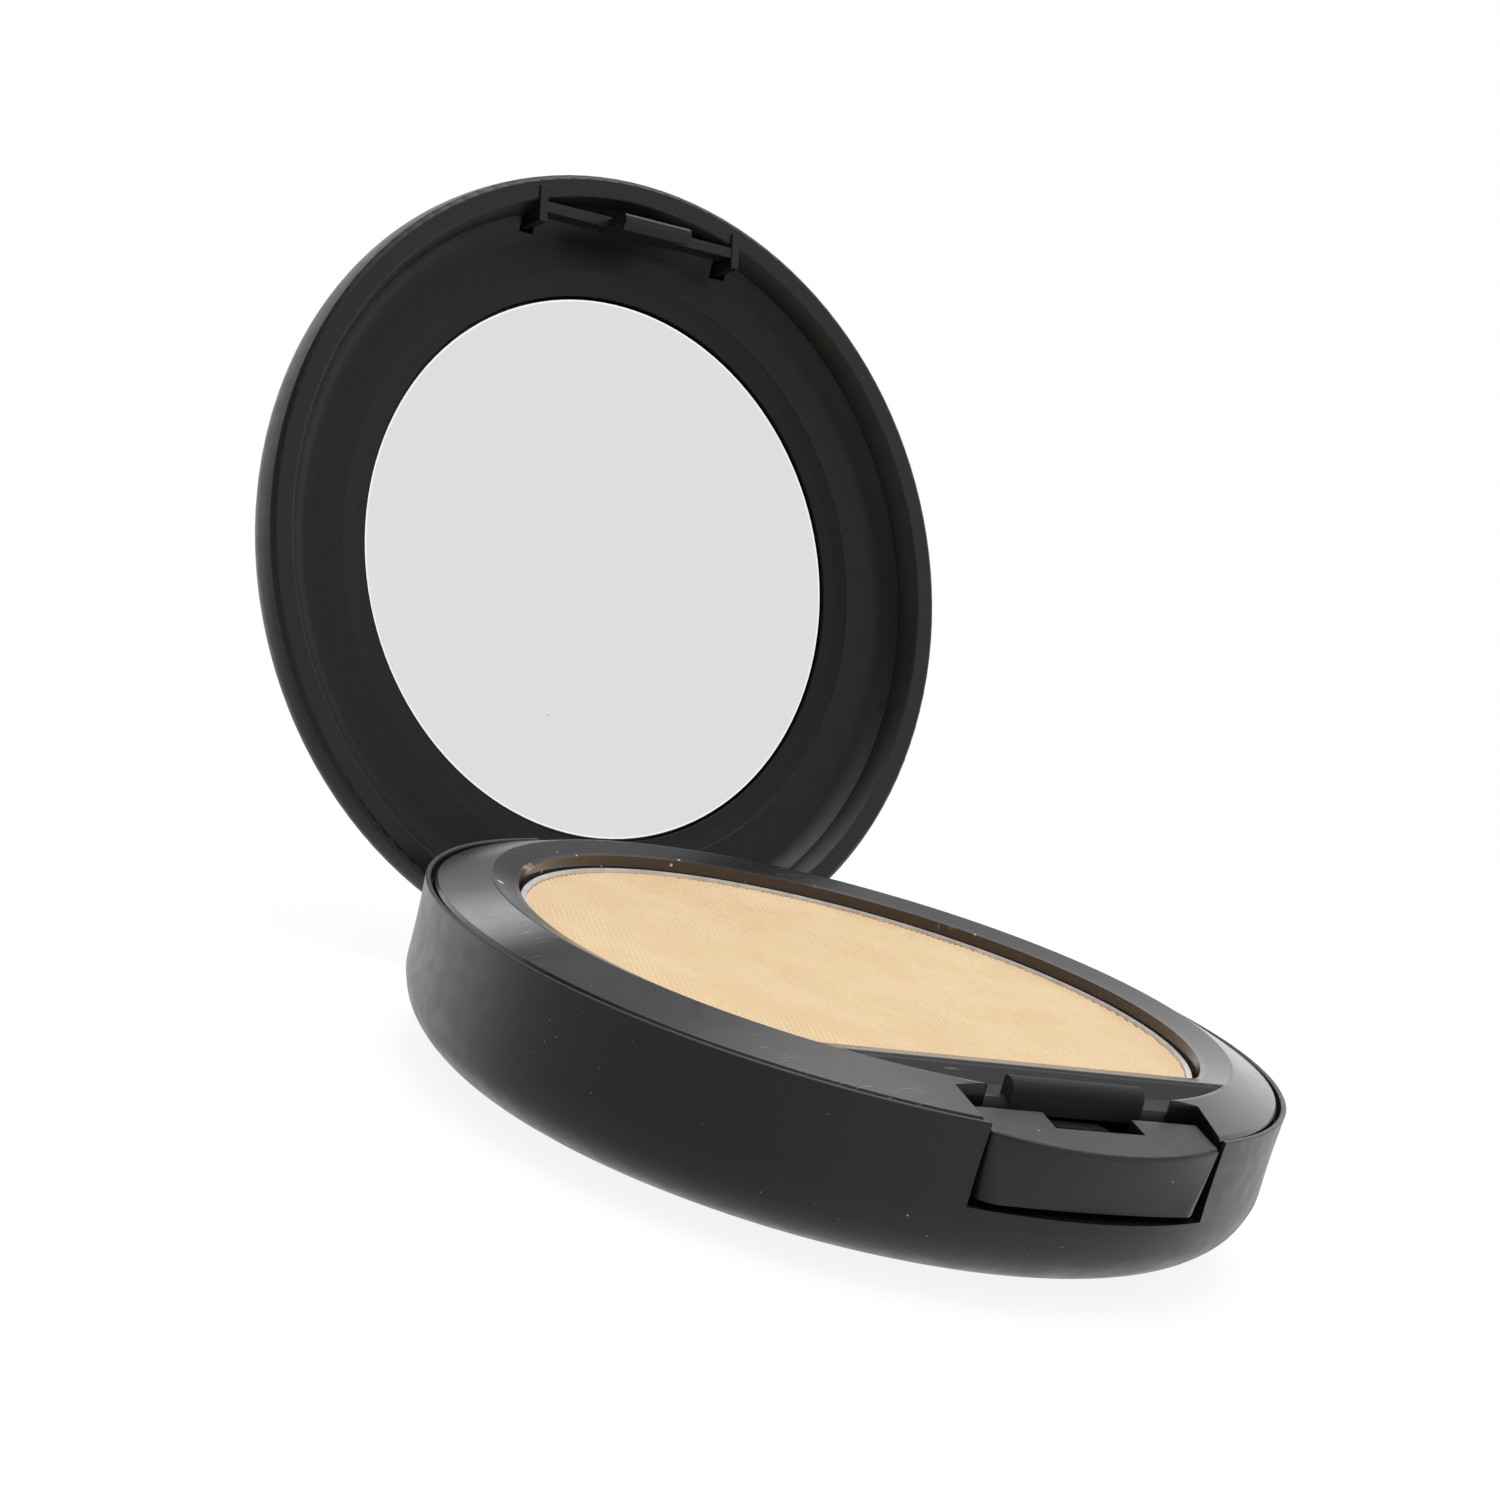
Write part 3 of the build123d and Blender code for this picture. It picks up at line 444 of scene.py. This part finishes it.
def metal(name, tone, roughness, metallic=1.0):
    """Drawn or rolled metal, with fine lines along X and slightly darker patches."""
    p = Paint(name, roughness, metallic)
    lines = p.cloud(per_mm=2.0, detail=4.0, place=p.stretched((0.3, 6.0, 6.0)))
    darker = tuple(0.82 * c for c in tone[:3]) + (1.0,)
    p.colour(p.mix(p.patches(per_mm=0.8, detail=3.0, low=0.35, high=0.7), tone, darker))
    p.roughness(p.between(lines, 0.3, 0.7, roughness * 0.7, roughness * 1.4))
    p.bump(lines, depth_mm=0.003, strength=0.6)
    return p.material


SILVER = (0.765, 0.778, 0.783, 1.0)
SILVER_RIM_HIGHLIGHT = (0.26, 0.36)       # mm inside the glass's rim, where a painted highlight turns it white
MIRROR_DUST = (0.30, 0.28, 0.26, 1.0)


def mirror_material():
    """Silvered glass with a painted highlight round its rim, a few grains of dust and faint
    smears.
    """
    p = Paint("mirror_glass", roughness=0.02, metallic=1.0)
    grains = p.specks(per_mm=0.35, radius=0.10, share=0.4)
    low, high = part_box("mirror")
    rim = (high.x - low.x) / 2 / MM
    offset = p.node("VectorMath", operation="DISTANCE")
    p.feed(offset.inputs[0], p.place)
    offset.inputs[1].default_value = (low + high) / 2 / MM
    # painted highlight: the glass turns from silver to white towards its rim
    rim_highlight = p.between(offset.outputs["Value"], rim - SILVER_RIM_HIGHLIGHT[1], rim - SILVER_RIM_HIGHLIGHT[0])
    p.colour(p.mix(grains, p.mix(rim_highlight, SILVER, WHITE), MIRROR_DUST))
    smear = p.patches(per_mm=0.12, detail=4.0, low=0.45, high=0.75, to_low=0.015, to_high=0.05)
    p.roughness(p.math("ADD", smear, p.math("MULTIPLY", grains, 0.6)))
    p.bump(grains, depth_mm=0.004, strength=0.4)
    return p.material


FOAM_SHADE = (0.80, 0.72, 0.60, 1.0)
FOAM_PALE = (0.86, 0.80, 0.70, 1.0)
# painted shade: the colour inside the foam's pores
FOAM_PORE_SHADE = (0.52, 0.42, 0.31, 1.0)


def foam_material():
    p = Paint("latex_foam", roughness=0.9, Sheen_Weight=0.25, Sheen_Roughness=0.5,
              Specular_IOR_Level=0.2)
    pores = p.specks(per_mm=2.2, radius=0.16, share=0.4)
    base = p.mix(p.patches(per_mm=0.12, detail=3.0, low=0.3, high=0.7), FOAM_SHADE, FOAM_PALE)
    # painted shade: the pores are darkened in colour as the shade inside them
    p.colour(p.mix(p.math("MULTIPLY", pores, 0.7), base, FOAM_PORE_SHADE))
    surface = p.math("SUBTRACT", p.cloud(per_mm=3.0, detail=4.0), p.math("MULTIPLY", pores, 1.2))
    p.bump(surface, depth_mm=0.12, strength=0.8)
    return p.material


FILM_DARK = (0.10, 0.10, 0.105, 1.0)
FILM_PALE = (0.13, 0.13, 0.13, 1.0)


def label_material():
    p = Paint("label_film", roughness=0.5)
    p.colour(p.mix(p.patches(per_mm=4.0, detail=4.0, low=0.4, high=0.7), FILM_DARK, FILM_PALE))
    p.roughness(p.patches(per_mm=0.4, detail=3.0, low=0.35, high=0.65, to_low=0.42, to_high=0.58))
    p.bump(p.cloud(per_mm=6.0, detail=3.0), depth_mm=0.004, strength=0.5)
    return p.material


GLUE_DARK = (0.62, 0.58, 0.48, 1.0)
GLUE_PALE = (0.72, 0.70, 0.63, 1.0)


def glue_material():
    p = Paint("glue", roughness=0.6)
    p.colour(p.mix(p.patches(per_mm=1.5, detail=4.0, low=0.4, high=0.65), GLUE_DARK, GLUE_PALE))
    p.bump(p.cloud(per_mm=2.5, detail=3.0), depth_mm=0.02, strength=0.6)
    return p.material


# ---------------------------------------------------------------- pieces made here

def new_piece(name, bm, material, body):
    """A smooth-shaded piece that moves with a body of the frame."""
    mesh = bpy.data.meshes.new(name)
    bmesh.ops.recalc_face_normals(bm, faces=bm.faces)
    bm.to_mesh(mesh)
    bm.free()
    for face in mesh.polygons:
        face.use_smooth = True
    mesh.materials.append(material)
    piece = bpy.data.objects.new(name, mesh)
    bpy.context.scene.collection.objects.link(piece)
    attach(piece, body)
    return piece


POWDER_INSET = 0.2 * MM          # mouth of the pan inside the cake's own box
POWDER_CORNER = 2.3 * MM
POWDER_TOP_GAP = 0.01 * MM
POWDER_ROWS = 72
POWDER_ARC_STEPS = 160           # points round the outline's long arc
POWDER_CORNER_STEPS = 12
POWDER_END_SHARE = 0.0002        # of the width, left out at either end

TWILL_PITCH = 0.53 * MM
TWILL_TURN = math.radians(-24.0)  # direction across the imprint's lines
TWILL_STEPS = 8                  # mesh columns in one pitch
TWILL_DEPTH = 0.08 * MM
TWILL_FAINTEST = 0.15            # share of the depth where the imprint is most worn
TWILL_USUAL = 0.75
TWILL_VARIES = 1.1
WEAR_PER_MM = 0.11
WEAR_SHIFT = Vector((3.1, 0.0, 7.0))

CRUMBLE_DEPTH = 0.10 * MM
CRUMBLE_WIDTH = 0.22 * MM
CRUMBLE_USUAL = 0.6
CRUMBLE_VARIES = 0.8
CRUMBLE_PER_MM = 1.7
GRAIN_HEIGHT = 0.006 * MM
GRAIN_PER_MM = 3.3


def corner_points(centre_x, centre_y, radius, start, turn, steps):
    """Points round a rounded corner, one for each of the angles that steps names."""
    points = []
    for k in steps:
        a = start + turn * k / POWDER_CORNER_STEPS
        points.append(Vector((centre_x + radius * math.cos(a), centre_y + radius * math.sin(a))))
    return points


def d_shape(radius, chord_y, corner):
    """Outline of a circle with a straight front, as points."""
    half = math.sqrt((radius - corner) ** 2 - (chord_y + corner) ** 2)
    lean = math.atan2(chord_y + corner, half)
    points = []
    for k in range(POWDER_ARC_STEPS + 1):
        a = lean + (math.pi - 2 * lean) * k / POWDER_ARC_STEPS
        points.append(Vector((radius * math.cos(a), radius * math.sin(a))))
    turn = math.pi / 2 + lean
    left_steps = range(1, POWDER_CORNER_STEPS + 1)
    right_steps = range(POWDER_CORNER_STEPS)
    points += corner_points(-half, chord_y + corner, corner, math.pi - lean, turn, left_steps)
    points += corner_points(half, chord_y + corner, corner, -math.pi / 2, turn, right_steps)
    return points


def crossings(outline, across, along, s):
    """Lowest and highest place along a line where it meets a convex outline."""
    found = []
    for k, a in enumerate(outline):
        b = outline[(k + 1) % len(outline)]
        sa = a.dot(across) - s
        sb = b.dot(across) - s
        if (sa < 0) != (sb < 0):
            found.append((a + (b - a) * (sa / (sa - sb))).dot(along))
    return min(found), max(found)


def powder_drop(at, s, edge):
    """Depth of the cake's surface under the top of its box: imprint, crumbled edge and grain."""
    place = Vector((at.x, at.y, 0.0)) / MM
    wear = noise.noise(place * WEAR_PER_MM + WEAR_SHIFT)
    depth = TWILL_DEPTH * min(1.0, max(TWILL_FAINTEST, TWILL_USUAL + TWILL_VARIES * wear))
    groove = depth * (0.5 - 0.5 * math.cos(2 * math.pi * s / TWILL_PITCH))
    uneven = CRUMBLE_USUAL + CRUMBLE_VARIES * noise.noise(place * CRUMBLE_PER_MM)
    crumbled = CRUMBLE_DEPTH * math.exp(-edge / CRUMBLE_WIDTH) * uneven
    grain = GRAIN_HEIGHT * noise.noise(place * GRAIN_PER_MM)
    return POWDER_TOP_GAP + groove + max(0.0, crumbled) - grain


def make_powder():
    low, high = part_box("pressed_powder")
    radius = (high.x - low.x) / 2 - POWDER_INSET
    outline = d_shape(radius, low.y + POWDER_INSET, POWDER_CORNER)
    across = Vector((math.cos(TWILL_TURN), math.sin(TWILL_TURN)))
    along = Vector((-across.y, across.x))
    reach_low = min(p.dot(across) for p in outline)
    reach_high = max(p.dot(across) for p in outline)
    width = reach_high - reach_low
    columns = int(width / TWILL_PITCH * TWILL_STEPS)
    bm = bmesh.new()
    grid = []
    for i in range(columns + 1):
        s = reach_low + width * (POWDER_END_SHARE + (1 - 2 * POWDER_END_SHARE) * i / columns)
        t_low, t_high = crossings(outline, across, along, s)
        column = []
        for j in range(POWDER_ROWS + 1):
            share = 0.5 - 0.5 * math.cos(math.pi * j / POWDER_ROWS)
            t = t_low + (t_high - t_low) * share
            at = across * s + along * t
            edge = min(t - t_low, t_high - t, s - reach_low, reach_high - s)
            column.append(bm.verts.new((at.x, at.y, high.z - powder_drop(at, s, edge))))
        grid.append(column)
    for a, b in zip(grid, grid[1:]):
        for j in range(POWDER_ROWS):
            bm.faces.new((a[j], b[j], b[j + 1], a[j + 1]))
    near = [column[0] for column in grid]
    far = [column[-1] for column in reversed(grid[:-1])]
    rim = near + grid[-1][1:] + far + grid[0][-2:0:-1]
    under = [bm.verts.new((v.co.x, v.co.y, low.z)) for v in rim]
    for k in range(len(rim)):
        n = (k + 1) % len(rim)
        bm.faces.new((rim[n], rim[k], under[k], under[n]))
    bm.faces.new(under)
    piece = new_piece("powder_cake", bm, powder_material(), "tray")
    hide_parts("pressed_powder")


SPONGE_RINGS = 64
SPONGE_AROUND = 192
SPONGE_SIDE_POWER = 0.16         # smaller is a straighter side
SPONGE_CAP_POWER = 0.55          # smaller is a flatter top
SPONGE_MARGIN = 0.992            # keeps the waves inside the sponge's own box
SPONGE_WAIST = 0.022
SPONGE_WAIST_AT = 0.05
SPONGE_WAIST_HEIGHT = 0.35
SPONGE_WAVE = 0.006
SPONGE_WAVES_ROUND = 1.6
SPONGE_CROWN = 0.10              # how far the top falls towards the edge
SPONGE_PILLOW = 0.05
SPONGE_PILLOW_LENGTH = 9 * MM
SPONGE_PILLOW_SHIFT = 2.0


def sponge_profile(radius):
    """Radius and height, from 1 at the top to -1 below, of the rings between the two tips."""
    rings = []
    for k in range(1, SPONGE_RINGS):
        turn = math.pi * k / SPONGE_RINGS
        height = math.copysign(abs(math.cos(turn)) ** SPONGE_CAP_POWER, math.cos(turn))
        rings.append((radius * math.sin(turn) ** SPONGE_SIDE_POWER, height))
    return rings


def sponge_point(centre, radius, half, r, z, a):
    """A point of the sponge's skin: a soft waist, gentle waves and a pillowed top."""
    level = Vector((math.cos(a), math.sin(a), 0.0))
    up = Vector((0.0, 0.0, 1.0))
    wave = noise.noise(level * SPONGE_WAVES_ROUND + up * z)
    waist = 1.0 - SPONGE_WAIST * math.exp(-((z - SPONGE_WAIST_AT) / SPONGE_WAIST_HEIGHT) ** 2)
    reach = r * (SPONGE_MARGIN * waist + SPONGE_WAVE * wave)
    height = z * half
    if z > 0:
        crown = 1.0 - SPONGE_CROWN * (reach / radius) ** 4
        swell = noise.noise((level * reach + up * SPONGE_PILLOW_SHIFT) / SPONGE_PILLOW_LENGTH)
        height *= crown + SPONGE_PILLOW * (swell - 1.0)
    return centre + level * reach + up * height


def make_sponge():
    low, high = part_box("sponge_applicator")
    centre = (low + high) / 2
    radius = (high.x - low.x) / 2
    half = (high.z - low.z) / 2
    bm = bmesh.new()
    layers = []
    for r, z in sponge_profile(radius):
        layer = []
        for m in range(SPONGE_AROUND):
            a = 2 * math.pi * m / SPONGE_AROUND
            layer.append(bm.verts.new(sponge_point(centre, radius, half, r, z, a)))
        layers.append(layer)
    for a, b in zip(layers, layers[1:]):
        for m in range(SPONGE_AROUND):
            n = (m + 1) % SPONGE_AROUND
            bm.faces.new((a[m], a[n], b[n], b[m]))
    for layer in (layers[0], layers[-1]):
        tip = bm.verts.new((centre.x, centre.y, layer[0].co.z))
        for m in range(SPONGE_AROUND):
            bm.faces.new((layer[m], layer[(m + 1) % SPONGE_AROUND], tip))
    piece = new_piece("sponge_puff", bm, foam_material(), "base")
    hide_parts("sponge_applicator")


# ---------------------------------------------------------------- assembly

def paint_cad():
    steel = metal("steel_wire", (0.60, 0.60, 0.61, 1.0), roughness=0.28)
    glue = glue_material()
    looks = {
        "base_shell": black_plastic("soft_touch_black", (0.0125, 0.0137, 0.0148, 1.0), 0.40,
                                    dust_share=0.9),
        "lid_shell": black_plastic("soft_touch_black_lid", (0.0100, 0.0105, 0.0112, 1.0), 0.40,
                                   gloss=0.4, film=0.04, dust_share=0.15, crumb_share=0.16),
        "powder_tray": black_plastic("satin_black", (0.0115, 0.0120, 0.0155, 1.0), 0.20,
                                     grain=0.003, dust_share=0.25, crumb_share=0.25,
                                     scratched=0.5, deck=True),
        "latch_button": black_plastic("button_black", (0.0125, 0.0132, 0.0145, 1.0), 0.38,
                                      dust=0.13, dust_share=0.6),
        "mirror_frame": black_plastic("moulded_black", (0.0085, 0.0098, 0.0092, 1.0), 0.40,
                                      film=0.04, gloss=0.3, dust_share=0.08),
        "hinge_pin": steel,
        "latch_spring_left": steel,
        "latch_spring_right": steel,
        "powder_pan": metal("tin_pan", (0.80, 0.78, 0.79, 1.0), roughness=0.35, metallic=0.3),
        "pan_adhesive": glue,
        "mirror_adhesive": glue,
        "mirror": mirror_material(),
        "base_label": label_material(),
    }
    for name, material in looks.items():
        mesh = NODES[name].data
        mesh.materials.clear()
        mesh.materials.append(material)


def main():
    bpy.context.scene.view_settings.view_transform = "Standard"
    make_camera()
    make_world()
    make_softbox()
    make_floor()
    paint_cad()
    make_powder()
    make_sponge()


main()
